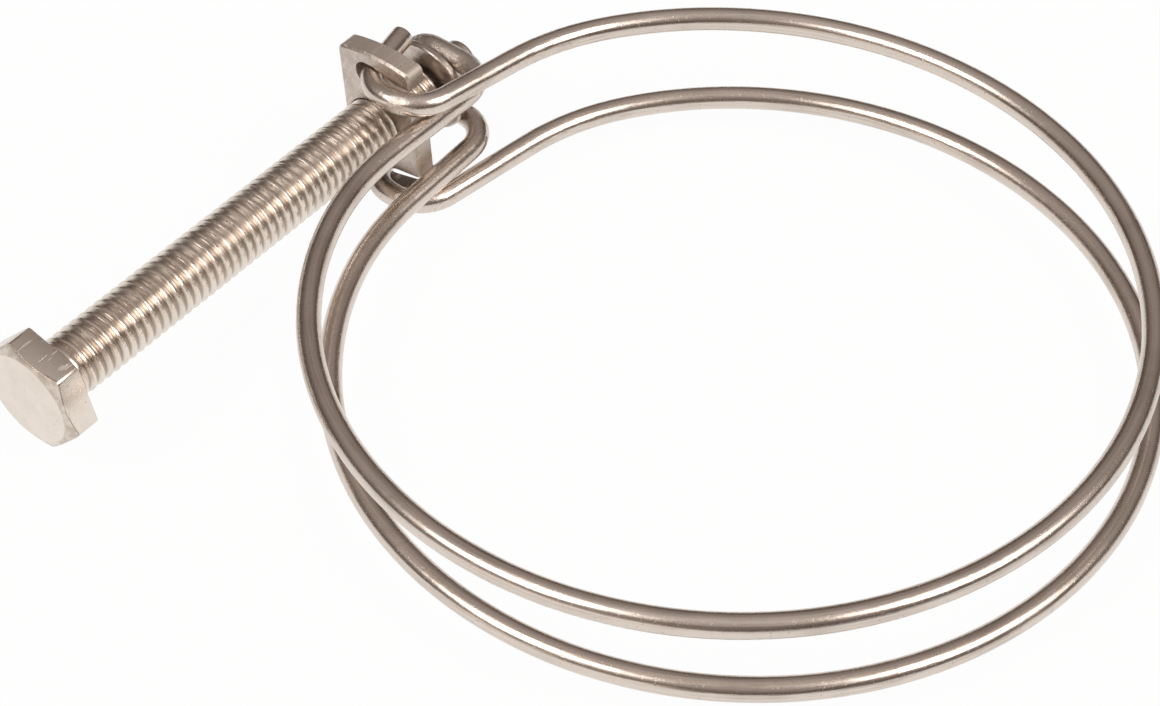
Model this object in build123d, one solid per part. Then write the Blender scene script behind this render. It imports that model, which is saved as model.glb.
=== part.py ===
from build123d import *
import math
import os

# Double-wire hose clamp. One wire makes two turns round the hose, its middle is a U-bend and its ends are hooks.
# A bolt threads through the nut plate that the hooks hold, and its pilot pushes a flanged cup against the U-bend.
# Frame: origin at the ring's centre, +Z along the hose, +X along the bolt towards its tip, +Y out to the bolt.

# Wire band
wire_diameter = 2.2
hose_seat_diameter = 70.8
strand_clearance = 0.6          # between the two strands where they cross
ring_rise = 1.35                # height that a strand loses in its turn round the hose
ring_step_angle = 18.0          # one corner of the strand's polygon
bend_share = 0.49               # of a straight run that the bend at one end may take up
run_in_angle = 27.0             # where the turn leaves the hook's straight leg
run_out_angle = 14.0            # where the turn meets the U-bend's straight leg
lower_turn_shift_x = 1.34       # the springy lower turn lies this far from the middle of the upper one
lower_turn_shift_y = -0.56
run_out_inset = 0.85            # how far the U-bend's straight leg lies inside the circle
hook_offset = 0.4               # from the nut plate's far face to the middle of the hook's bend
hook_standoff = 1.9             # from the ring's outside to the middle of the hook's bend
hook_bend_radius = 3.9
hook_tail_bend_radius = 3.4     # the second half of the bend, inside the nut plate
hook_tail_angle = 12.0          # the cut tail leans out by this much
hook_tail_length = 4.9
hook_settle_angle = 20.0        # how soon the strand drops from the hook's height
hook_settle_drop = 0.7
u_settle_angle = 25.0           # how late the strand moves in to the U-bend's height
u_corner_radius = 3.5
u_rise = 0.12                   # the U-bend sits this much above the bolt's axis
u_side_clearance = 0.24         # more room beside the cup than beyond it

# Bolt
bolt_diameter = 6.0
bolt_shank_length = 49.0
bolt_standoff = 4.76            # between the ring's outside and the bolt's axis
head_across_flats = 10.0
head_height = 2.9
head_chamfer_height = 0.55
head_chamfer_angle = 30.0
head_turn = 14.0
shank_chamfer = 0.5
pilot_diameter = 2.9
pilot_length = 5.2
pilot_chamfer = 0.35
thread_pitch = 1.0
thread_depth = 0.5
thread_crest = 0.3              # width of the crest along the bolt
thread_start = 2.6              # from under the head to the first full groove

# Nut plate
plate_thickness = 2.2
plate_width = 8.8
plate_inset = 0.85              # the plate's middle lies this much nearer to the ring than the bolt
plate_swivel = 3.5              # how far the plate has turned on the bolt
plate_end_height = 8.1          # at the corners, above the bolt's axis
plate_crown = 0.55              # how much higher the ends are in the middle
plate_corner_radius = 0.8
plate_edge_break = 0.22
plate_to_head = 42.2            # from under the head to the plate's near face
thread_clearance = 0.05
slot_clearance = 0.2
slot_drop = 0.8                 # the throat lies this much nearer to the bolt than the hook's seat
slot_neck = 2.9                 # from the hook's seat to the narrowest place of the throat
slot_mouth_flare = 0.55

# Thrust cup
flange_diameter = 9.4
flange_thickness = 0.85
flange_edge_radius = 0.25
cup_wall = 0.35
cup_end_wall = 0.5
cup_clearance = 0.08            # all round the pilot, and between the cup and the U-bend
bolt_end_gap = 0.4              # between the shank's shoulder and the cup's flange

wire_radius = wire_diameter / 2
ring_radius = hose_seat_diameter / 2 + wire_radius
bolt_y = ring_radius + wire_radius + bolt_standoff
bolt_radius = bolt_diameter / 2
pilot_radius = pilot_diameter / 2

plate_near_x = 1.0
plate_far_x = plate_near_x + plate_thickness
head_seat_x = plate_near_x - plate_to_head
shank_end_x = head_seat_x + bolt_shank_length
cup_near_x = shank_end_x + bolt_end_gap
cup_bore_radius = pilot_radius + cup_clearance
cup_radius = cup_bore_radius + cup_wall
u_bend_x = cup_near_x + flange_thickness + cup_clearance + wire_radius
u_bend_radius = cup_radius + cup_clearance + wire_radius

inner_strand_z = u_bend_radius + u_side_clearance
outer_strand_z = inner_strand_z + wire_diameter + strand_clearance
hook_seat_z = outer_strand_z
hook_centre_x = plate_far_x + hook_offset
hook_centre_y = ring_radius + wire_radius + hook_standoff
hook_back_x = hook_centre_x - hook_bend_radius
tail_centre_x = hook_back_x + hook_tail_bend_radius


def strand_height(angle):
    """Height of the upper strand, from the hook (0) round to the U-bend (360)."""
    settled = outer_strand_z - hook_settle_drop - ring_rise * angle / 360
    near_hook = hook_settle_drop * math.exp(-angle / hook_settle_angle)
    bend_shift = inner_strand_z - outer_strand_z + hook_settle_drop + ring_rise
    return settled + near_hook + bend_shift * math.exp((angle - 360) / u_settle_angle)


def ring_corner(angle, radius):
    """A corner of the strand's polygon, at an angle from +Y towards +X."""
    turn = math.radians(angle)
    return Vector(radius * math.sin(turn), radius * math.cos(turn), strand_height(angle))


def strand_points():
    """Corners of the upper strand, from its cut tail to the far end of the U-bend's leg."""
    tail_turn = math.radians(hook_tail_angle)
    tail_start = Vector(
        tail_centre_x - hook_tail_bend_radius * math.sin(tail_turn),
        hook_centre_y + hook_tail_bend_radius * math.cos(tail_turn),
        hook_seat_z,
    )
    tail_end = tail_start + Vector(math.cos(tail_turn), math.sin(tail_turn), 0) * hook_tail_length
    tail_reach = hook_tail_bend_radius * math.tan((math.pi / 2 - tail_turn) / 2)
    points = [
        tail_end,
        Vector(hook_back_x, hook_centre_y + tail_reach, hook_seat_z),
        Vector(hook_back_x, hook_centre_y - hook_bend_radius, hook_seat_z),
    ]
    sweep_angle = 360 - run_in_angle - run_out_angle
    steps = round(sweep_angle / ring_step_angle)
    corner_radius = ring_radius / math.cos(math.radians(sweep_angle / steps / 2))
    for index in range(steps + 1):
        points.append(ring_corner(run_in_angle + sweep_angle / steps * index, corner_radius))
    points.append(Vector(u_bend_x, ring_radius - run_out_inset, inner_strand_z))
    points.append(Vector(u_bend_x, bolt_y + u_bend_radius, inner_strand_z))
    return points


def bend_radius(before, corner, after, largest):
    """Radius of the bend at a corner, kept inside the straight runs beside it."""
    turn = (corner - before).get_angle(after - corner)
    shorter = min((corner - before).length, (after - corner).length)
    return min(largest, bend_share * shorter / math.tan(math.radians(turn / 2)))


def wire_path():
    half = strand_points()
    lower = [Vector(point.X, point.Y, -point.Z) for point in reversed(half)]
    for index in range(2, len(lower) - 3):
        lower[index] += Vector(lower_turn_shift_x, lower_turn_shift_y, 0)
    points = half + lower
    for index in range(len(half) - 2, len(half) + 2):
        points[index] += Vector(0, 0, u_rise)
    largest = [ring_radius] * len(half)
    largest[1] = hook_tail_bend_radius
    largest[2] = hook_bend_radius
    largest[-2] = u_corner_radius
    largest[-1] = u_bend_radius
    largest = largest + largest[::-1]
    radii = [bend_radius(*points[i - 1:i + 2], largest[i]) for i in range(1, len(points) - 1)]
    # the hooks and the U-bend take up more than half of the runs between their own corners
    for i in (1, 2, len(half) - 1):
        radii[i - 1] = largest[i]
        radii[-i] = largest[i]
    return FilletPolyline(*points, radius=radii)


def wire_band():
    path = wire_path()
    section = Plane(origin=path @ 0, z_dir=path % 0) * Circle(wire_radius)
    return sweep(section, path=path)


def along_bolt(x, radius, length):
    """A cylinder on the bolt's axis, from x towards the tip."""
    return Plane(origin=(x, bolt_y, 0), z_dir=(1, 0, 0)) * Cylinder(
        radius, length, align=(Align.CENTER, Align.CENTER, Align.MIN)
    )


def hex_bolt():
    corner_radius = head_across_flats / 2 / math.cos(math.pi / 6)
    top_plane = Plane(origin=(head_seat_x - head_height, bolt_y, 0), x_dir=(0, 1, 0), z_dir=(1, 0, 0))
    prism = extrude(top_plane * RegularPolygon(corner_radius, 6, rotation=head_turn), head_height)
    # the cone that chamfers the corners of the head's top
    chamfer_slope = math.tan(math.radians(head_chamfer_angle))
    top_radius = corner_radius - head_chamfer_height / chamfer_slope
    bowl = Plane(origin=(head_seat_x - head_height, bolt_y, 0), z_dir=(1, 0, 0)) * Cone(
        top_radius, top_radius + head_height / chamfer_slope, head_height,
        align=(Align.CENTER, Align.CENTER, Align.MIN),
    )
    head = prism & bowl
    shank = along_bolt(head_seat_x, bolt_radius, bolt_shank_length)
    shoulder = shank.edges().filter_by(GeomType.CIRCLE).sort_by(Axis.X)[-1]
    shank = chamfer(shoulder, shank_chamfer)
    pilot = along_bolt(shank_end_x, pilot_radius, pilot_length)
    pilot = chamfer(pilot.edges().filter_by(GeomType.CIRCLE).sort_by(Axis.X)[-1], pilot_chamfer)
    return head + shank + pilot - thread_grooves()


def thread_grooves():
    """The thread's grooves as plain rings, one for each turn, from the run-out to the tip."""
    half_groove = (thread_pitch - thread_crest) / 2
    outside = bolt_radius + thread_depth
    groove = Polyline(
        (-2 * half_groove, outside), (0, bolt_radius - thread_depth), (2 * half_groove, outside), close=True
    )
    ring = revolve(Plane.XY * make_face(groove), axis=Axis.X)
    turns = int((bolt_shank_length - shank_chamfer - thread_start) / thread_pitch)
    first_x = head_seat_x + thread_start
    return [Pos(first_x + turn * thread_pitch, bolt_y, 0) * ring for turn in range(turns)]


def plate_outline():
    """The plate seen along the bolt, with crowned ends and rounded corners."""
    half_width = plate_width / 2
    top = plate_end_height + plate_crown
    edges = Polyline(
        (-half_width, plate_end_height), (-half_width, -plate_end_height)
    ) + ThreePointArc(
        (-half_width, -plate_end_height), (0, -top), (half_width, -plate_end_height)
    ) + Polyline(
        (half_width, -plate_end_height), (half_width, plate_end_height)
    ) + ThreePointArc(
        (half_width, plate_end_height), (0, top), (-half_width, plate_end_height)
    )
    outline = make_face(edges)
    return fillet(outline.vertices(), plate_corner_radius)


def hook_y(x):
    """Where the hook's wire crosses the plane at x, on its way out to the tail."""
    return hook_centre_y + math.sqrt(hook_tail_bend_radius ** 2 - (tail_centre_x - x) ** 2)


def slot_outline(side):
    """One hook slot: a throat from the ring's edge, and a seat for the hook that lies further out."""
    half_slot = wire_radius + slot_clearance
    near_y = hook_y(plate_near_x) - bolt_y
    far_y = hook_y(plate_far_x) - bolt_y
    seat_z = side * hook_seat_z
    throat_z = side * (hook_seat_z - slot_drop)
    near_end = Pos(near_y, seat_z) * Circle(half_slot)
    far_end = Pos(far_y, seat_z) * Circle(half_slot)
    neck = Pos(near_y - slot_neck, throat_z) * Circle(half_slot)
    mouth = Pos(-plate_inset - plate_width / 2 - half_slot, throat_z) * Circle(half_slot + slot_mouth_flare)
    seat = make_hull(near_end.edges() + far_end.edges())
    ramp = make_hull(near_end.edges() + neck.edges())
    return seat + ramp + make_hull(neck.edges() + mouth.edges())


def nut_plate():
    face_plane = Plane(origin=(plate_near_x, bolt_y, 0), x_dir=(0, 1, 0), z_dir=(1, 0, 0))
    outline = Rot(0, 0, -plate_swivel) * Pos(-plate_inset, 0) * plate_outline()
    body = extrude(face_plane * outline, plate_thickness)
    rims = body.faces().filter_by(Axis.X).edges()
    body = chamfer(rims, plate_edge_break)
    for side in (-1, 1):
        body -= extrude(face_plane * slot_outline(side), plate_thickness)
    return body - along_bolt(plate_near_x, bolt_radius + thread_clearance, plate_thickness)


def thrust_cup():
    flange = along_bolt(cup_near_x, flange_diameter / 2, flange_thickness)
    flange = fillet(flange.edges().filter_by(GeomType.CIRCLE), flange_edge_radius)
    sleeve = along_bolt(cup_near_x, cup_radius, pilot_length + cup_end_wall)
    end_rim = sleeve.edges().filter_by(GeomType.CIRCLE).sort_by(Axis.X)[-1]
    sleeve = fillet(end_rim, cup_wall)
    bore = along_bolt(cup_near_x, cup_bore_radius, pilot_length - bolt_end_gap + cup_clearance)
    return flange + sleeve - bore


def write(node, shape):
    shape.label = node
    export_step(shape, f"parts/{node}.step")


os.makedirs("parts", exist_ok=True)
write("wire_band", wire_band())
write("hex_bolt", hex_bolt())
write("nut_plate", nut_plate())
write("thrust_cup", thrust_cup())
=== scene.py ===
import math

import bmesh
import bpy
from mathutils import Matrix, Vector


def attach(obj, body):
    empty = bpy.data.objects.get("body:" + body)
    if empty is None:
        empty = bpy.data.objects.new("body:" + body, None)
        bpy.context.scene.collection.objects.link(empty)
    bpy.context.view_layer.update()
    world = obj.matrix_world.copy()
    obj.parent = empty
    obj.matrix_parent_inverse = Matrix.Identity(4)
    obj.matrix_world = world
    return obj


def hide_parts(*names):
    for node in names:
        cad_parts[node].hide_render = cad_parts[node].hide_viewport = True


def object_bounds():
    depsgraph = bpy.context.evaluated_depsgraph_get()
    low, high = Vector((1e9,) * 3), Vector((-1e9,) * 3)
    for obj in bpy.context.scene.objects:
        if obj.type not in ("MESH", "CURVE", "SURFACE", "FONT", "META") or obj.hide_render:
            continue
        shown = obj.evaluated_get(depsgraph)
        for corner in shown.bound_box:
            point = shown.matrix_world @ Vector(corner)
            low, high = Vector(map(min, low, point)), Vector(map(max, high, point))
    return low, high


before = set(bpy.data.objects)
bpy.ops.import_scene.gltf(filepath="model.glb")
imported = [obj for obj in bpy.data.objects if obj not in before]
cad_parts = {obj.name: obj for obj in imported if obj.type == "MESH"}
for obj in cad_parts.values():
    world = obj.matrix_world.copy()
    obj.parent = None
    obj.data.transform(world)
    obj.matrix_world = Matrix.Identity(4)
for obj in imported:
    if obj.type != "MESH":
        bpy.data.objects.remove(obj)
cadLow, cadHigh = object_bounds()
print("frame loaded")

cameraView = {
    "location": (-0.14845, -0.10294, 0.18488),
    "forward": (0.5395, 0.4348, -0.7210),
    "roll": -0.22,
    "lens": 91.16,
    "sensor": 36.0,
    "clip": (0.005, 20),
}


def addCamera():
    data = bpy.data.cameras.new("productCamera")
    camera = bpy.data.objects.new("productCamera", data)
    bpy.context.scene.collection.objects.link(camera)
    forward = Vector(cameraView["forward"]).normalized()
    level = forward.cross(Vector((0, 0, 1))).normalized()
    above = level.cross(forward)
    roll = math.radians(cameraView["roll"])
    right = level * math.cos(roll) + above * math.sin(roll)
    up = above * math.cos(roll) - level * math.sin(roll)
    basis = Matrix((right, up, -forward)).transposed()
    camera.matrix_world = Matrix.Translation(cameraView["location"]) @ basis.to_4x4()
    data.sensor_width = cameraView["sensor"]
    data.lens = cameraView["lens"]
    data.clip_start, data.clip_end = cameraView["clip"]
    bpy.context.scene.camera = camera


addCamera()
bpy.context.scene.view_settings.view_transform = "Standard"
print("camera placed")


class Sum:
    # a socket that can be written in sums
    def __init__(self, graph, socket):
        self.graph = graph
        self.socket = socket

    def __add__(self, other):
        return self.graph.maths("ADD", self, other)

    def __sub__(self, other):
        return self.graph.maths("SUBTRACT", self, other)

    def __rsub__(self, other):
        return self.graph.maths("SUBTRACT", other, self)

    def __mul__(self, other):
        return self.graph.maths("MULTIPLY", self, other)

    def __truediv__(self, other):
        return self.graph.maths("DIVIDE", self, other)

    def __pow__(self, other):
        return self.graph.maths("POWER", self, other)

    __radd__ = __add__
    __rmul__ = __mul__


class Graph:
    # the nodes of one material or world
    def __init__(self, tree):
        self.tree = tree

    def node(self, kind, settings=None, inputs=None, output=0):
        made = self.tree.nodes.new(kind)
        for name, value in (settings or {}).items():
            if name == "stops":
                ramp = made.color_ramp.elements
                while len(ramp) < len(value):
                    ramp.new(0.5)
                for stop, (place, color) in zip(ramp, value):
                    stop.position = place
                    stop.color = (*color, 1)
            else:
                setattr(made, name, value)
        for name, value in (inputs or {}).items():
            if isinstance(value, Sum):
                self.tree.links.new(value.socket, made.inputs[name])
            else:
                made.inputs[name].default_value = value
        return Sum(self, made.outputs[output])

    def maths(self, operation, *values):
        return self.node("ShaderNodeMath", {"operation": operation}, dict(enumerate(values)))

    def parts(self, vector):
        split = self.node("ShaderNodeSeparateXYZ", {}, {0: vector})
        return [Sum(self, split.socket.node.outputs[i]) for i in range(3)]

    def join(self, x, y, z):
        return self.node("ShaderNodeCombineXYZ", {}, {0: x, 1: y, 2: z})

    def between(self, value, low, high):
        # 0 below low, 1 above high
        return self.node("ShaderNodeMapRange", {"interpolation_type": "SMOOTHSTEP"},
                         {0: value, 1: low, 2: high, 3: 0.0, 4: 1.0})

    def within(self, value, full, ends):
        # 1 nearer to zero than full, 0 farther than ends
        return 1.0 - self.between(self.maths("ABSOLUTE", value), full, ends)

    def distance(self, *sides):
        total = sides[0] * sides[0]
        for side in sides[1:]:
            total = total + side * side
        return total ** 0.5

    def mix(self, amount, first, second):
        first, second = [(*color, 1) if isinstance(color, tuple) else color for color in (first, second)]
        return self.node("ShaderNodeMix", {"data_type": "RGBA"}, {0: amount, 6: first, 7: second}, 2)

    def noise(self, vector, scale, detail, w=None):
        inputs = {"Vector": vector, "Scale": scale, "Detail": detail}
        settings = {}
        if w is not None:
            settings["noise_dimensions"] = "4D"
            inputs["W"] = w
        return self.node("ShaderNodeTexNoise", settings, inputs)


class Finish(Graph):
    # a metal finish whose patterns are in millimetres of the object's own place
    def __init__(self, name):
        self.material = bpy.data.materials.new(name)
        self.material.use_nodes = True
        super().__init__(self.material.node_tree)
        self.shader = self.tree.nodes["Principled BSDF"]
        self.shader.inputs["Metallic"].default_value = 1.0
        place = self.node("ShaderNodeTexCoord", output=3)
        self.mm = self.node("ShaderNodeVectorMath", {"operation": "SCALE"}, {0: place, "Scale": 1000.0})
        self.x, self.y, self.z = self.parts(self.mm)

    def feed(self, name, value):
        self.tree.links.new(value.socket, self.shader.inputs[name])

    def spots(self, pattern):
        # the pattern gives a scale, a detail, and the noise at which a spot starts and is full
        scale, detail, starts, full = pattern
        return self.between(self.noise(self.mm, scale, detail), starts, full)

    def streaks(self, x, y, z, pattern, w=None):
        # the pattern gives a scale along each way, the third one for w too, and a detail
        scaleX, scaleY, scaleZ, detail = pattern
        if w is not None:
            w = w * scaleZ
        return self.noise(self.join(x * scaleX, y * scaleY, z * scaleZ), 1.0, detail, w)

    def layer(self, color, mask, look):
        # the look gives the layer's colour and how much of it shows
        shade, amount = look
        return self.mix(mask * amount, color, shade)

    def feedRoughness(self, amounts, **masks):
        total = amounts["base"]
        for name, mask in masks.items():
            total = total + mask * amounts[name]
        self.feed("Roughness", total)

    def feedBumps(self, amounts, **heights):
        # each bump has a strength and a depth in metres, and lies over the ones before it
        normal = {}
        for name, height in heights.items():
            strength, depth = amounts[name]
            inputs = {"Height": height, "Strength": strength, "Distance": depth, **normal}
            normal = {"Normal": self.node("ShaderNodeBump", {}, inputs)}
        self.feed("Normal", normal["Normal"])


# where the painted shadow at the plate's lower slot sits, how far it reaches and its patches
slotShadow = {
    "place": (2.1, 41.4, -6.2),
    "reach": (2.2, 4.2),
    "patches": (1.1, 3.0, 0.25, 0.50),
}


def paintedSlotShadow(f):
    # painted shadow, in patches, round the wire where it goes through the plate's lower slot; it darkens
    # wire and plate alike
    slotX, slotY, slotZ = slotShadow["place"]
    fromSlot = f.distance(f.x - slotX, f.y - slotY, f.z - slotZ)
    return f.within(fromSlot, *slotShadow["reach"]) * f.spots(slotShadow["patches"])


wireLook = {
    "metal": (0.72, 0.635, 0.565),
    # layers: a colour and how much of it shows
    "dull": ((0.50, 0.425, 0.365), 0.7),
    "scuffed": ((0.27, 0.22, 0.19), 0.8),
    # painted shadow round the plate's lower slot
    "slotShade": ((0.20, 0.155, 0.13), 0.75),
    "pitted": ((0.30, 0.24, 0.20), 0.45),
    "roughness": {"base": 0.20, "drawing": 0.10, "pits": 0.15, "scuffs": 0.26},
    "hookCentre": (3.6, 39.5),    # X and Y in millimetres
    # zones in millimetres: where each starts and is full, or is full and ends
    "hooksFromY": (36.6, 38.4),
    "hooksFromX": (-14.0, -8.0),
    "bendFromX": (7.6, 9.0),
    "bendHalfHeight": (3.8, 4.6),
    "scuffsFromZ": (0.6, 2.4),
    # patterns: scales and detail, then the values at which they start and are full
    "drawing": (2.2, 2.2, 5.5, 4.0),
    "wideLines": (3.0, 3.0, 1.4, 2.0),
    "pits": (3.4, 3.0, 0.635, 0.74),
    "blotch": (0.16, 3.0),
    "ripple": (0.75, 2.0),
    "crinkle": (2.4, 2.0),
    "crinkledFrom": (0.50, 0.62),
    "drawingShare": 0.55,         # of the dullness, and blotches have the rest
    "dullFrom": (0.44, 0.66),
    "scuffs": (1.6, 1.1, 4.2, 3.0),
    "scuffSlant": 1.5,
    "scuffsFrom": (0.40, 0.54),
    # heights of the lines and the scuffs within their bumps
    "fineLines": 0.8,
    "wideLineHeight": 0.6,
    "scuffDepth": 0.8,
    "bumps": {
        "ripple": (0.15, 0.00006),
        "crinkle": (0.28, 0.00004),
        "lines": (0.50, 0.00004),
        "wear": (0.22, 0.00003),
    },
}


def wireFinish():
    f = Finish("drawnWire")
    look = wireLook
    ringRadius = f.distance(f.x, f.y)
    aroundX = f.x / ringRadius
    aroundY = f.y / ringRadius
    # which way the wire runs: round the ring, round a hook or up the U-bend
    nearBolt = f.between(f.y, *look["hooksFromY"]) * f.between(f.x, *look["hooksFromX"])
    upright = f.between(f.x, *look["bendFromX"]) * f.within(f.z, *look["bendHalfHeight"]) * nearBolt
    hookX, hookY = look["hookCentre"]
    hookRadius = f.distance(f.x - hookX, f.y - hookY)
    acrossSide = ringRadius * (1.0 - nearBolt) + hookRadius * nearBolt * (1.0 - upright) + f.x * upright
    acrossHeight = f.z * (1.0 - upright) + f.y * upright
    drawing = f.streaks(aroundX, aroundY, acrossSide, look["drawing"], acrossHeight)
    wideLines = f.streaks(aroundX, aroundY, acrossSide, look["wideLines"], acrossHeight)
    pits = f.spots(look["pits"])
    blotch = f.noise(f.mm, *look["blotch"])
    ripple = f.noise(f.mm, *look["ripple"])
    crinkle = f.noise(f.mm, *look["crinkle"]) * f.between(blotch, *look["crinkledFrom"])
    share = look["drawingShare"]
    dull = f.between(drawing * share + blotch * (1.0 - share), *look["dullFrom"])
    # the forming tool has scuffed the outside of the U-bend
    scuffLines = f.streaks(f.x + f.y * look["scuffSlant"], f.y, f.z, look["scuffs"])
    scuffs = f.between(scuffLines, *look["scuffsFrom"]) * upright * f.between(f.z, *look["scuffsFromZ"])
    color = f.layer(look["metal"], dull, look["dull"])
    color = f.layer(color, scuffs, look["scuffed"])
    # painted shadow where the wire goes through the plate's lower slot
    color = f.layer(color, paintedSlotShadow(f), look["slotShade"])
    color = f.layer(color, pits, look["pitted"])
    f.feed("Base Color", color)
    f.feedRoughness(look["roughness"], drawing=drawing, pits=pits, scuffs=scuffs)
    lines = drawing * look["fineLines"] + wideLines * look["wideLineHeight"]
    wear = 1.0 - pits - scuffs * look["scuffDepth"]
    f.feedBumps(look["bumps"], ripple=ripple, crinkle=crinkle, lines=lines, wear=wear)
    return f.material


boltSizes = {
    "axisY": 42.36,
    "headSeatX": -41.2,
    "acrossFlats": 10.0,
    "headHeight": 2.9,
    "headTurn": 14.2,             # degrees that a corner stands from +Y towards +Z
    "chamferSlope": 26.6,
    "chamferCircle": 9.2,
    "bowlWidth": 8.0,             # how far the bowl that cuts the chamfer reaches past its circle
    "cornerRound": 0.30,
    "edgeRound": 0.17,
    "roundSegments": 3,
    "sharpAngle": 18,             # degrees past which the head's edges are rounded
    "smoothAngle": 32,            # degrees up to which the bolt is shaded smooth
    "shankLength": 49.0,
    "pitch": 1.0,
    "crestRadius": 2.96,
    "rootRadius": 2.50,
    # half of the thread's outline, in pitches along the bolt and shares of its depth
    "threadHalf": [(0.0, 0.0), (0.08, 0.02), (0.13, 0.12), (0.32, 0.84), (0.37, 0.97), (0.50, 1.0)],
    "threadSteps": 48,
    "turnsInHead": 2,             # whole turns wound before the seat, then cut off
    "turnedSteps": 96,
    "mergeWithin": 0.0005,
    "firstCrestX": -37.2,
    "headOverlap": 0.3,           # how far the core starts inside the head
    "collarRise": 0.02,           # over the thread's crests
    "collarLength": 0.25,
    "runOutLength": 2.6,
    "runOutFall": 0.10,           # under the crests, at half the run-out's length
    "coreUnder": 0.02,            # how far the core lies under the thread's roots
    "tipChamfer": 0.5,
    "tipStart": 1.2,              # where the core starts to rise, back from the tip
    "tipFoot": (0.12, 0.75),      # the tip ring's foot: over the roots, and back from the tip
    "tipEdge": (0.03, 0.65),      # the tip ring's edge: under the crests, and back from the tip
    "pilotRadius": 1.45,
    "pilotLength": 5.2,
    "pilotFillet": 0.1,
    "pilotChamfer": 0.33,
}

boltLook = {
    "metal": (0.80, 0.715, 0.63),
    # layers: a colour and how much of it shows
    "worn": ((0.66, 0.58, 0.505), 0.25),
    # painted shade darkening the thread's roots
    "root": ((0.36, 0.29, 0.24), 0.7),
    "specked": ((0.38, 0.31, 0.25), 0.35),
    # painted dark reflection on the head's upper flats
    "flats": ((0.58, 0.50, 0.45), 0.35),
    "rubbed": ((0.93, 0.87, 0.80), 0.55),
    "browned": (0.46, 0.375, 0.31),
    "brownedChamfer": 0.25,
    "brownedHandling": 0.45,
    # painted shade: a dark line along the chamfer's lower border
    "edgeShade": ((0.30, 0.23, 0.19), 0.7),
    "shankSpecks": 0.7,           # how much of the specks' colour the shank loses
    "roughness": {"base": 0.17, "worn": 0.08, "shank": 0.05, "root": 0.08, "flats": 0.08,
                  "rubs": 0.20, "handled": 0.12},
    # zones in millimetres: where each starts and is full, or is full and ends
    "shankPastSeat": (-0.02, 0.05),
    "rootRadii": (2.54, 2.80),
    "flatsPastSeat": (-2.75, -2.45),
    "flatsFromZ": (3.0, 4.2),
    "chamferRise": 0.50,          # along the bolt, for each millimetre outwards
    "chamferBand": (0.05, 0.14),
    "chamferFade": 0.12,          # either side of the chamfer's circle
    # where the painted shade line lies along the chamfer's lower border
    "edgeShadeDepth": 0.10,
    "edgeShadeBand": (0.03, 0.09),
    "edgeShadeBelowAxis": (2.4, 3.0),
    "edgeShadeRadii": (4.98, 5.06),
    # patterns: scales and detail, then the values at which they start and are full
    "rolling": (7.0, 7.0, 0.4, 3.0),
    "wideRolling": (2.6, 2.0, 0.2, 2.0),
    "rubbing": (0.55, 4.5, 4.5, 4.0),
    "deepRubs": (0.35, 3.1, 3.1, 1.0),
    "deepRubsFrom": (0.63, 0.70),
    "handling": (1.3, 4.0, 0.34, 0.62),
    "blotch": (0.45, 3.0),
    "wornFrom": (0.35, 0.70),
    "specks": (4.5, 2.0, 0.64, 0.74),
    "bumps": {
        "blotch": (0.25, 0.00012),
        "rolling": (0.7, 0.00004),
        "wideRolling": (0.5, 0.00006),
        "rubbing": (0.40, 0.00003),
        "deepRubs": (0.5, 0.00003),
        "specks": (0.3, 0.00002),
    },
}


def boltFinish():
    f = Finish("platedBolt")
    look = boltLook
    radius = f.distance(f.y - boltSizes["axisY"], f.z)
    pastSeat = f.x - boltSizes["headSeatX"]
    onShank = f.between(pastSeat, *look["shankPastSeat"])
    # the thread's roots, where shade is painted into the grooves
    inRoot = f.within(radius, *look["rootRadii"]) * onShank
    # rolling marks run round the shank, rubbing marks run along the head's flats
    rolling = f.streaks(f.x, radius, f.z, look["rolling"])
    wideRolling = f.streaks(f.x, radius, f.z, look["wideRolling"])
    rubbing = f.streaks(f.x, f.y, f.z, look["rubbing"])
    # the head's upper flats, which carry a painted dark reflection and the rubbing marks
    onFlats = f.between(pastSeat, *look["flatsPastSeat"]) * f.between(f.z, *look["flatsFromZ"])
    onFlats = onFlats * (1.0 - onShank)
    rubs = f.between(f.streaks(f.x, f.y, f.z, look["deepRubs"]), *look["deepRubsFrom"]) * onFlats
    # the chamfer is a cone, and handling has browned it; a dark line along its lower border is painted
    # shade
    chamferStart = boltSizes["chamferCircle"] / 2
    fade = look["chamferFade"]
    chamferDepth = pastSeat + boltSizes["headHeight"] - (radius - chamferStart) * look["chamferRise"]
    onChamfer = f.within(chamferDepth, *look["chamferBand"])
    onChamfer = onChamfer * f.between(radius, chamferStart - fade, chamferStart + fade)
    handled = f.spots(look["handling"]) * onChamfer
    lowerSide = f.between(boltSizes["axisY"] - f.y, *look["edgeShadeBelowAxis"])
    lowerSide = lowerSide * f.between(radius, *look["edgeShadeRadii"])
    edgeShade = f.within(chamferDepth - look["edgeShadeDepth"], *look["edgeShadeBand"]) * lowerSide
    blotch = f.noise(f.mm, *look["blotch"])
    specks = f.spots(look["specks"])
    worn = f.between(blotch, *look["wornFrom"])
    color = f.layer(look["metal"], worn, look["worn"])
    # painted shade in the thread's roots
    color = f.layer(color, inRoot, look["root"])
    color = f.layer(color, specks * (1.0 - onShank * look["shankSpecks"]), look["specked"])
    # painted dark reflection on the head's upper flats
    color = f.layer(color, onFlats, look["flats"])
    color = f.layer(color, rubs, look["rubbed"])
    browned = onChamfer * look["brownedChamfer"] + handled * look["brownedHandling"]
    color = f.mix(browned, color, look["browned"])
    # painted shade along the chamfer's lower border
    color = f.layer(color, edgeShade, look["edgeShade"])
    f.feed("Base Color", color)
    f.feedRoughness(look["roughness"], worn=worn, shank=onShank, root=inRoot, flats=onFlats,
                    rubs=rubs, handled=handled)
    f.feedBumps(look["bumps"], blotch=blotch, rolling=rolling * onShank, wideRolling=wideRolling * onShank,
                rubbing=rubbing * onFlats, deepRubs=1.0 - rubs, specks=1.0 - specks * (1.0 - onShank))
    return f.material


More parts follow.
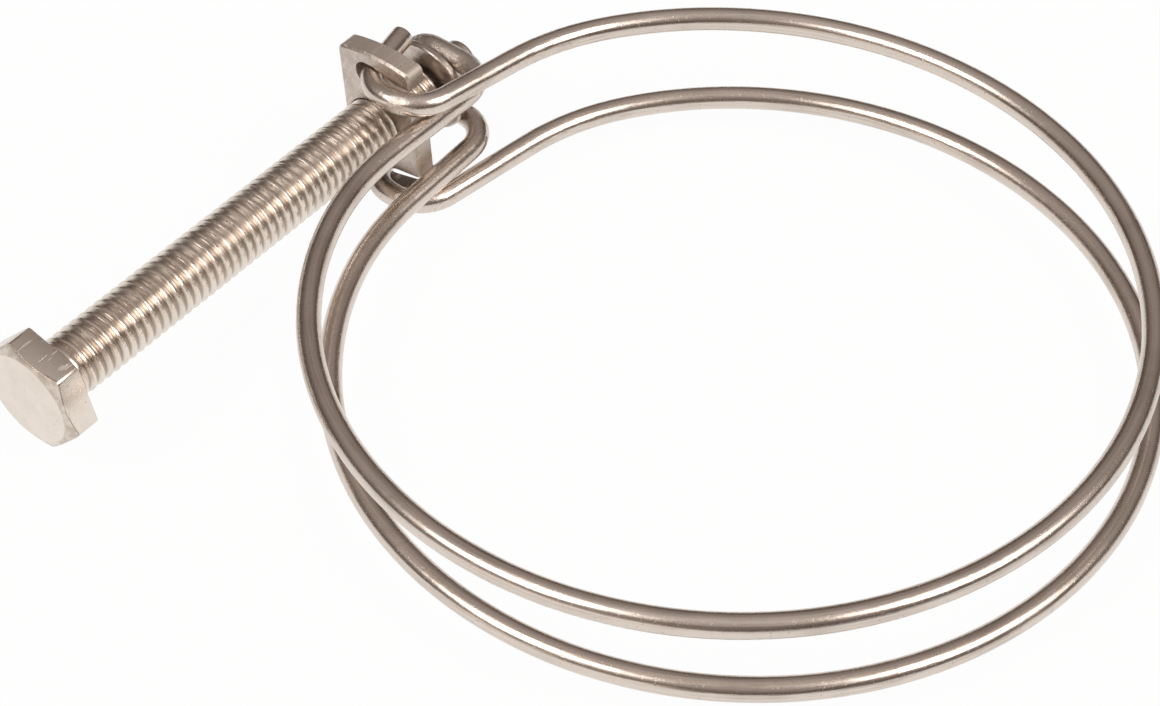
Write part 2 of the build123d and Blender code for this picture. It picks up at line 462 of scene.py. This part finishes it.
plateLook = {
    "metal": (0.66, 0.575, 0.505),
    "dark": (0.36, 0.295, 0.25),
    "darkDull": 0.45,             # how much of the dark shows where the plate is dull
    "darkFaces": 0.16,            # and how much on its flat faces
    # layers: a colour and how much of it shows
    "rim": ((0.78, 0.695, 0.62), 0.6),
    "pitted": ((0.24, 0.19, 0.16), 0.5),
    "scratched": ((0.86, 0.79, 0.72), 0.35),
    # painted shadow round the plate's lower slot
    "slotShade": ((0.17, 0.13, 0.11), 0.75),
    "roughness": {"base": 0.27, "grain": 0.12, "pits": 0.15, "rim": 0.20},
    "rimFacing": (0.50, 0.80),    # how far a surface may face along X and be the rim
    # patterns: scales and detail, then the values at which they start and are full
    "grain": (5.0, 4.0),
    "blotch": (0.55, 3.0),
    "blotchShare": 0.7,           # of the dullness, and the grain has the rest
    "dullFrom": (0.38, 0.64),
    "rise": (0.5, 5.0, 0.6, 2.0),
    "riseSlant": 2 / 5,
    "riseFrom": (0.60, 0.68),
    "fall": (0.5, 0.7, 5.2, 2.0),
    "fallSlant": 6 / 13,
    "fallFrom": (0.61, 0.69),
    "shear": (0.35, 3.2, 3.2, 3.0),
    "pits": (2.8, 3.0, 0.62, 0.74),
    "pitDepth": 0.6,
    "bumps": {
        "blotch": (0.35, 0.00012),
        "shear": (0.35, 0.00005),
        "grain": (0.35, 0.00003),
        "scratches": (0.4, 0.00003),
    },
}


def plateFinish():
    f = Finish("stampedPlate")
    look = plateLook
    grain = f.noise(f.mm, *look["grain"])
    blotch = f.noise(f.mm, *look["blotch"])
    # scratches cross the faces two ways, and shear marks run through the thickness
    rise = f.streaks(f.x, f.y + f.z * look["riseSlant"], f.z, look["rise"])
    fall = f.streaks(f.x, f.y, f.z - f.y * look["fallSlant"], look["fall"])
    scratches = f.between(rise, *look["riseFrom"]) + f.between(fall, *look["fallFrom"])
    shear = f.streaks(f.x, f.y, f.z, look["shear"])
    pits = f.spots(look["pits"])
    share = look["blotchShare"]
    dull = f.between(blotch * share + grain * (1.0 - share), *look["dullFrom"])
    # the sheared rim is paler and rougher than the two flat faces
    facing = f.parts(f.node("ShaderNodeTexCoord", output=1))[0]
    rim = f.within(facing, *look["rimFacing"])
    darkness = dull * look["darkDull"] + (1.0 - rim) * look["darkFaces"]
    color = f.mix(darkness, look["metal"], look["dark"])
    color = f.layer(color, rim, look["rim"])
    color = f.layer(color, pits, look["pitted"])
    color = f.layer(color, scratches, look["scratched"])
    # painted shadow round the plate's lower slot
    color = f.layer(color, paintedSlotShadow(f), look["slotShade"])
    f.feed("Base Color", color)
    f.feedRoughness(look["roughness"], grain=grain, pits=pits, rim=rim)
    f.feedBumps(look["bumps"], blotch=blotch, shear=shear, grain=grain + (1.0 - pits) * look["pitDepth"],
                scratches=1.0 - scratches)
    return f.material


cupLook = {
    "metal": (0.64, 0.56, 0.495),
    # layers: a colour and how much of it shows
    "dull": ((0.33, 0.27, 0.23), 0.5),
    "dragged": ((0.86, 0.79, 0.72), 0.4),
    "roughness": {"base": 0.24, "rings": 0.10, "dull": 0.08},
    # patterns: scales and detail, then the values at which they start and are full
    "rings": (6.0, 2.0, 0.3, 3.0),
    "blotch": (0.7, 3.0),
    "dullFrom": (0.38, 0.62),
    "drag": (4.0, 0.8, 3.4, 2.0),
    "dragFrom": (0.58, 0.66),
    "bumps": {"blotch": (0.4, 0.00010), "rings": (0.4, 0.00003), "drag": (0.4, 0.00003)},
}


def cupFinish():
    f = Finish("pressedCup")
    look = cupLook
    radius = f.distance(f.y - boltSizes["axisY"], f.z)
    rings = f.streaks(radius, f.x, f.z, look["rings"])
    blotch = f.noise(f.mm, *look["blotch"])
    drag = f.between(f.streaks(f.x, f.y, f.z, look["drag"]), *look["dragFrom"])
    dull = f.between(blotch, *look["dullFrom"])
    color = f.layer(look["metal"], dull, look["dull"])
    color = f.layer(color, drag, look["dragged"])
    f.feed("Base Color", color)
    f.feedRoughness(look["roughness"], rings=rings, dull=dull)
    f.feedBumps(look["bumps"], blotch=blotch, rings=rings, drag=1.0 - drag)
    return f.material


wireMetal = wireFinish()
boltMetal = boltFinish()
plateMetal = plateFinish()
cupMetal = cupFinish()
print("finishes mixed")


def dress(nodeName, material):
    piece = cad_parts[nodeName]
    piece.data.materials.clear()
    piece.data.materials.append(material)


dress("wire_band", wireMetal)
dress("nut_plate", plateMetal)
dress("thrust_cup", cupMetal)
print("wire, plate and cup dressed")


def clearSelection():
    if bpy.context.object and bpy.context.object.mode == "EDIT":
        bpy.ops.object.mode_set(mode="OBJECT")
    bpy.ops.object.select_all(action="DESELECT")


def selectOnly(piece):
    clearSelection()
    piece.select_set(True)
    bpy.context.view_layer.objects.active = piece


def selectEdges(piece, test):
    # in edit mode, selects the edges whose two ends pass the test
    bpy.ops.mesh.select_mode(type="EDGE")
    bpy.ops.mesh.select_all(action="DESELECT")
    mesh = bmesh.from_edit_mesh(piece.data)
    for edge in mesh.edges:
        edge.select_set(test(edge.verts[0].co, edge.verts[1].co))
    bmesh.update_edit_mesh(piece.data)


def applyAll(piece):
    selectOnly(piece)
    for modifier in list(piece.modifiers):
        bpy.ops.object.modifier_apply(modifier=modifier.name)


def layAlongBolt(piece, startX):
    # the piece is made standing on the world's origin, and its own Z becomes the bolt's axis
    selectOnly(piece)
    stand = Matrix(((0, 0, 1), (1, 0, 0), (0, 1, 0))).to_4x4()
    place = Matrix.Translation((startX / 1000, boltSizes["axisY"] / 1000, 0))
    piece.matrix_world = place @ stand @ Matrix.Scale(0.001, 4)
    bpy.ops.object.transform_apply(location=True, rotation=True, scale=True)


def outlinePiece(name, outline):
    # draws an outline of (radius, height) points from one vertex, and stays in edit mode
    clearSelection()
    bpy.ops.mesh.primitive_plane_add(size=0.1, location=(outline[0][0], 0, outline[0][1]))
    piece = bpy.context.object
    piece.name = name
    bpy.ops.object.transform_apply(location=True)
    bpy.ops.object.mode_set(mode="EDIT")
    bpy.ops.mesh.select_mode(type="VERT")
    bpy.ops.mesh.merge(type="CENTER")
    for before, after in zip(outline, outline[1:]):
        step = (after[0] - before[0], 0, after[1] - before[1])
        bpy.ops.mesh.extrude_vertices_move(TRANSFORM_OT_translate={"value": step})
    return piece


def turnedPiece(name, outline):
    # spins the outline about Z
    piece = outlinePiece(name, outline)
    bpy.ops.mesh.select_all(action="SELECT")
    bpy.ops.mesh.spin(steps=boltSizes["turnedSteps"], angle=math.tau, center=(0, 0, 0), axis=(0, 0, 1))
    bpy.ops.mesh.select_all(action="SELECT")
    bpy.ops.mesh.remove_doubles(threshold=boltSizes["mergeWithin"])
    bpy.ops.mesh.normals_make_consistent(inside=False)
    bpy.ops.object.mode_set(mode="OBJECT")
    return piece


def hexHead():
    s = boltSizes
    corner = s["acrossFlats"] / math.sqrt(3)
    turn = math.radians(s["headTurn"])
    clearSelection()
    bpy.ops.mesh.primitive_cylinder_add(vertices=6, radius=corner, depth=s["headHeight"],
                                        location=(0, 0, s["headHeight"] / 2),
                                        rotation=(0, 0, turn + math.pi / 2))
    head = bpy.context.object
    head.name = "boltHead"
    bpy.ops.object.transform_apply(location=True, rotation=True)
    # the six corners that run along the bolt are worn round
    bpy.ops.object.mode_set(mode="EDIT")
    selectEdges(head, lambda a, b: abs(a.z - b.z) > s["headHeight"] / 2)
    bpy.ops.mesh.bevel(offset=s["cornerRound"], segments=s["roundSegments"], affect="EDGES")
    bpy.ops.object.mode_set(mode="OBJECT")
    # a bowl round the head chamfers the corners of its outer face, which is at the bottom here
    flatRadius = s["chamferCircle"] / 2
    bowlHeight = s["bowlWidth"] * math.tan(math.radians(s["chamferSlope"]))
    bowl = turnedPiece("headBowl", [
        (0.0, 0.0),
        (flatRadius, 0.0),
        (flatRadius + s["bowlWidth"], bowlHeight),
        (0.0, bowlHeight),
    ])
    cut = head.modifiers.new("chamfer", "BOOLEAN")
    cut.operation = "INTERSECT"
    cut.object = bowl
    cut.solver = "EXACT"
    applyAll(head)
    bpy.data.objects.remove(bowl)
    soften = head.modifiers.new("soften", "BEVEL")
    soften.width = s["edgeRound"]
    soften.segments = s["roundSegments"]
    soften.limit_method = "ANGLE"
    soften.angle_limit = math.radians(s["sharpAngle"])
    applyAll(head)
    layAlongBolt(head, s["headSeatX"] - s["headHeight"])
    return head


def threadedShank():
    # one pitch of the thread's outline is wound up the shank, then both ends are cut square and closed
    s = boltSizes
    rise = s["crestRadius"] - s["rootRadius"]
    half = s["threadHalf"]
    whole = half + [(1.0 - along, outward) for along, outward in reversed(half[:-1])]
    # the winding starts inside the head, half a pitch before a crest that is in step with the first one
    firstCrest = s["firstCrestX"] - s["headSeatX"]
    turnsBefore = int(firstCrest / s["pitch"]) + s["turnsInHead"]
    start = firstCrest - s["pitch"] * turnsBefore - s["pitch"] / 2
    shank = outlinePiece("boltShank", [(s["rootRadius"] + outward * rise, start + along * s["pitch"])
                                       for along, outward in whole])
    bpy.ops.object.mode_set(mode="OBJECT")
    wind = shank.modifiers.new("wind", "SCREW")
    wind.axis = "Z"
    wind.screw_offset = s["pitch"]
    wind.angle = math.tau
    wind.steps = s["threadSteps"]
    wind.render_steps = s["threadSteps"]
    wind.iterations = int(s["shankLength"] / s["pitch"]) + s["turnsInHead"] + 1
    wind.use_merge_vertices = True
    wind.merge_threshold = s["mergeWithin"]
    applyAll(shank)
    bpy.ops.object.mode_set(mode="EDIT")
    bpy.ops.mesh.select_all(action="SELECT")
    bpy.ops.mesh.remove_doubles(threshold=s["mergeWithin"])
    for height, outward in ((0.0, -1), (s["shankLength"] - s["tipChamfer"], 1)):
        bpy.ops.mesh.select_all(action="SELECT")
        bpy.ops.mesh.bisect(plane_co=(0, 0, height), plane_no=(0, 0, outward), use_fill=True,
                            clear_outer=True)
    bpy.ops.mesh.select_all(action="SELECT")
    bpy.ops.mesh.normals_make_consistent(inside=False)
    bpy.ops.object.mode_set(mode="OBJECT")
    layAlongBolt(shank, s["headSeatX"])
    return shank


def smoothCore():
    # the collar and run-out under the head, the chamfered tip and the pilot, all turned in one outline
    s = boltSizes
    crest = s["crestRadius"]
    core = s["rootRadius"] - s["coreUnder"]
    pilot = s["pilotRadius"]
    tip = s["shankLength"]
    end = tip + s["pilotLength"]
    footRise, footBack = s["tipFoot"]
    edgeFall, edgeBack = s["tipEdge"]
    piece = turnedPiece("boltCore", [
        (0.0, -s["headOverlap"]),
        (crest + s["collarRise"], -s["headOverlap"]),
        (crest + s["collarRise"], s["collarLength"]),
        (crest - s["runOutFall"], s["runOutLength"] / 2),
        (core, s["runOutLength"]),
        (core, tip - s["tipStart"]),
        (s["rootRadius"] + footRise, tip - footBack),
        (crest - edgeFall, tip - edgeBack),
        (crest - s["tipChamfer"], tip),
        (pilot + s["pilotFillet"], tip),
        (pilot, tip + s["pilotFillet"]),
        (pilot, end - s["pilotChamfer"]),
        (pilot - s["pilotChamfer"], end),
        (0.0, end),
    ])
    layAlongBolt(piece, s["headSeatX"])
    return piece


def joined(name, pieces):
    selectOnly(pieces[0])
    for piece in pieces[1:]:
        piece.select_set(True)
    bpy.ops.object.join()
    whole = bpy.context.object
    whole.name = name
    whole.data.name = name
    return whole


hexBolt = joined("hexBolt", [hexHead(), threadedShank(), smoothCore()])
bpy.ops.object.shade_smooth_by_angle(angle=math.radians(boltSizes["smoothAngle"]))
hexBolt.data.materials.clear()
hexBolt.data.materials.append(boltMetal)
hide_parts("hex_bolt")
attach(hexBolt, "bolt")
print("bolt made:", len(hexBolt.data.polygons), "faces")

studio = {
    "floorColor": (0.84, 0.82, 0.80),
    "floorRoughness": 0.9,
    "floorShine": 0.1,
    "floorWhite": 0.965,          # how much of the floor the camera and reflections see as plain white
    "floorSize": 3.0,
    "backdrop": (1.0, 1.0, 1.0),  # what the camera sees past the floor
    "worldStrength": 1.0,
    # the room's colour by the height that it is seen at, from level to straight up
    "room": [(0.0, (0.080, 0.060, 0.048)), (0.24, (0.090, 0.069, 0.057)), (0.42, (0.21, 0.172, 0.155)),
             (0.64, (0.31, 0.268, 0.252)), (0.84, (0.38, 0.338, 0.322)), (1.0, (0.58, 0.54, 0.52))],
    # a low pale screen beyond the bolt's head, placed by parts of the direction to it
    "screen": (1.12, 1.03, 0.95),
    "screenSide": (0.78, 0.96),
    "screenHeight": 0.04,
    "screenHalfHeight": (0.08, 0.20),
    "lamps": {
        # direction to the lamp, its distance, its size, watts, colour
        "leftBox": ((-0.635, 0.213, 0.744), 0.95, 0.58, 4.0, (1.0, 0.975, 0.955)),
        "rightBox": ((0.141, -0.667, 0.732), 0.95, 0.60, 4.4, (1.0, 0.965, 0.935)),
    },
}


def addFloor():
    clearSelection()
    bpy.ops.mesh.primitive_plane_add(size=studio["floorSize"], location=(0, 0, cadLow.z))
    floor = bpy.context.object
    floor.name = "studioFloor"
    material = bpy.data.materials.new("palePaper")
    material.use_nodes = True
    g = Graph(material.node_tree)
    shader = g.tree.nodes["Principled BSDF"]
    shader.inputs["Base Color"].default_value = (*studio["floorColor"], 1)
    shader.inputs["Roughness"].default_value = studio["floorRoughness"]
    shader.inputs["Specular IOR Level"].default_value = studio["floorShine"]
    rays = g.node("ShaderNodeLightPath").socket.node.outputs
    seen = g.maths("MAXIMUM", Sum(g, rays["Is Camera Ray"]), Sum(g, rays["Is Glossy Ray"]))
    white = g.node("ShaderNodeEmission", {}, {"Color": (1, 1, 1, 1), "Strength": 1.0})
    paper = Sum(g, shader.outputs[0])
    blend = g.node("ShaderNodeMixShader", {}, {0: seen * studio["floorWhite"], 1: paper, 2: white})
    g.tree.links.new(blend.socket, g.tree.nodes["Material Output"].inputs["Surface"])
    floor.data.materials.append(material)


def addRoom():
    world = bpy.data.worlds.new("studioRoom")
    bpy.context.scene.world = world
    world.use_nodes = True
    g = Graph(world.node_tree)
    background = g.tree.nodes["Background"]
    toward, _, height = g.parts(g.node("ShaderNodeTexCoord", output=0))
    shade = g.node("ShaderNodeValToRGB", {"stops": studio["room"]}, {0: height})
    screen = g.between(0.0 - toward, *studio["screenSide"])
    screen = screen * g.within(height - studio["screenHeight"], *studio["screenHalfHeight"])
    shade = g.mix(screen, shade, studio["screen"])
    rays = g.node("ShaderNodeLightPath").socket.node.outputs
    color = g.mix(Sum(g, rays["Is Camera Ray"]), shade, studio["backdrop"])
    g.tree.links.new(color.socket, background.inputs["Color"])
    background.inputs["Strength"].default_value = studio["worldStrength"]


def addLamps():
    for name, (toward, distance, size, watts, color) in studio["lamps"].items():
        data = bpy.data.lights.new(name, "AREA")
        data.shape = "DISK"
        data.size = size
        data.energy = watts
        data.color = color
        lamp = bpy.data.objects.new(name, data)
        bpy.context.scene.collection.objects.link(lamp)
        lamp.location = Vector(toward).normalized() * distance
        lamp.rotation_mode = "QUATERNION"
        lamp.rotation_quaternion = Vector(toward).to_track_quat("Z", "Y")


addFloor()
addRoom()
addLamps()
print("studio lit")
